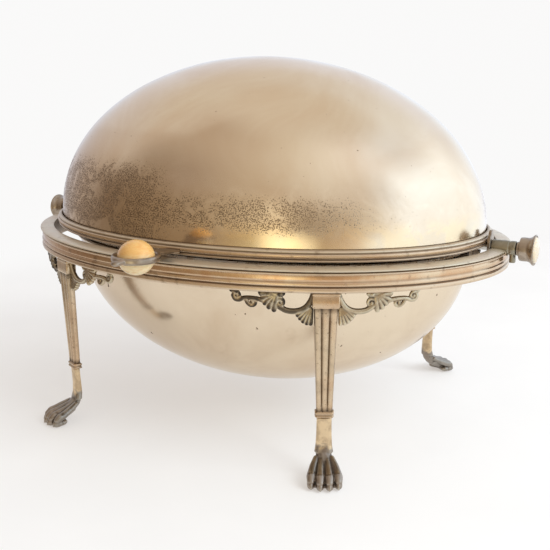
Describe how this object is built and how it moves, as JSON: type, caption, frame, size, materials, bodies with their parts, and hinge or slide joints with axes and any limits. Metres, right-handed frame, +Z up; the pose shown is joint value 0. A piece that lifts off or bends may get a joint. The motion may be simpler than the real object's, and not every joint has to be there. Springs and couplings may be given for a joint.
{
  "type": "revolving lid breakfast dish",
  "caption": "Oval footed serving dish with a domed cover that rolls back under the bowl, holding a lift-out liner and pierced drainer.",
  "frame": {"origin": "centre of the object's bounding box on the surface it stands on", "axes": "+X along the dish's long axis and pivot axis, -Y towards the cover's handle, +Z up"},
  "size_m": [0.3554, 0.2787, 0.2274],
  "materials": {
    "lid_plate": "tarnished silver plate, warm champagne with dark pitting, glossy",
    "bowl_plate": "silver plate, pinkish beige, glossy, few dark spots",
    "liner_plate": "silver plate, clean, satin",
    "worn_moulding": "worn plate with copper showing, tarnish in the grooves",
    "cast_plate": "worn cast plate, dark in the flutes",
    "dark_plate": "dark pewter grey tarnish",
    "dull_plate": "dull grey-brown tarnish",
    "spindle_metal": "turned metal",
    "ivory": "old ivory or bone, honey coloured, polished"
  },
  "bodies": {
    "frame": {"bowl": "bowl_plate", "bowl_lug_left": "dull_plate", "bowl_lug_right": "dull_plate", "bowl_rim_band": "dull_plate", "leg_front_left": "cast_plate", "leg_front_right": "cast_plate", "leg_rear_left": "cast_plate", "leg_rear_right": "cast_plate", "paw_front_left": "dark_plate", "paw_front_right": "dark_plate", "paw_rear_left": "dark_plate", "paw_rear_right": "dark_plate", "pivot_bearing_left": "dull_plate", "pivot_bearing_right": "dull_plate", "rim_frame": "worn_moulding", "scroll_a_front_left": "cast_plate", "scroll_a_front_right": "cast_plate", "scroll_a_rear_left": "cast_plate", "scroll_a_rear_right": "cast_plate", "scroll_b_front_left": "cast_plate", "scroll_b_front_right": "cast_plate", "scroll_b_rear_left": "cast_plate", "scroll_b_rear_right": "cast_plate"},
    "lid": {"lid_shell": "lid_plate", "lid_moulding": "worn_moulding", "lid_lug_left": "dull_plate", "lid_lug_right": "dull_plate", "lid_handle": "dull_plate", "handle_ball": "ivory", "ball_pin": "dull_plate"},
    "liner": {"food_liner": "liner_plate"},
    "drainer": {"drainer": "liner_plate"},
    "screw_left": {"spindle_left": "spindle_metal"},
    "knob_left": {"knob_left": "dull_plate", "knob_disc_left": "ivory"},
    "screw_right": {"spindle_right": "spindle_metal"},
    "knob_right": {"knob_right": "dull_plate", "knob_disc_right": "ivory"}
  },
  "joints": [
    {"name": "lid_roll", "type": "hinge", "parent": "frame", "child": "lid", "pos_m": [0, 0.0209, 0.1188], "axis": [-1, 0, 0], "range_deg": [0, 177]},
    {"name": "liner_lift", "type": "slide", "parent": "frame", "child": "liner", "axis": [0, 0, 1], "range_m": [0, 0.03]},
    {"name": "drainer_lift", "type": "slide", "parent": "liner", "child": "drainer", "axis": [0, 0, 1], "range_m": [0, 0.018]},
    {"name": "screw_left_draw", "type": "slide", "parent": "frame", "child": "screw_left", "axis": [-1, 0, 0], "range_m": [0, 0.004]},
    {"name": "knob_left_turn", "type": "hinge", "parent": "screw_left", "child": "knob_left", "pos_m": [-0.17, 0.0209, 0.1188], "axis": [-1, 0, 0], "range_deg": [0, 1440]},
    {"name": "screw_right_draw", "type": "slide", "parent": "frame", "child": "screw_right", "axis": [1, 0, 0], "range_m": [0, 0.004]},
    {"name": "knob_right_turn", "type": "hinge", "parent": "screw_right", "child": "knob_right", "pos_m": [0.17, 0.0209, 0.1188], "axis": [1, 0, 0], "range_deg": [0, 1440]}
  ],
  "couplings": [
    {"joint": "screw_left_draw", "follows": "knob_left_turn", "m_per_rad": 0.00015915},
    {"joint": "screw_right_draw", "follows": "knob_right_turn", "m_per_rad": 0.00015915}
  ]
}
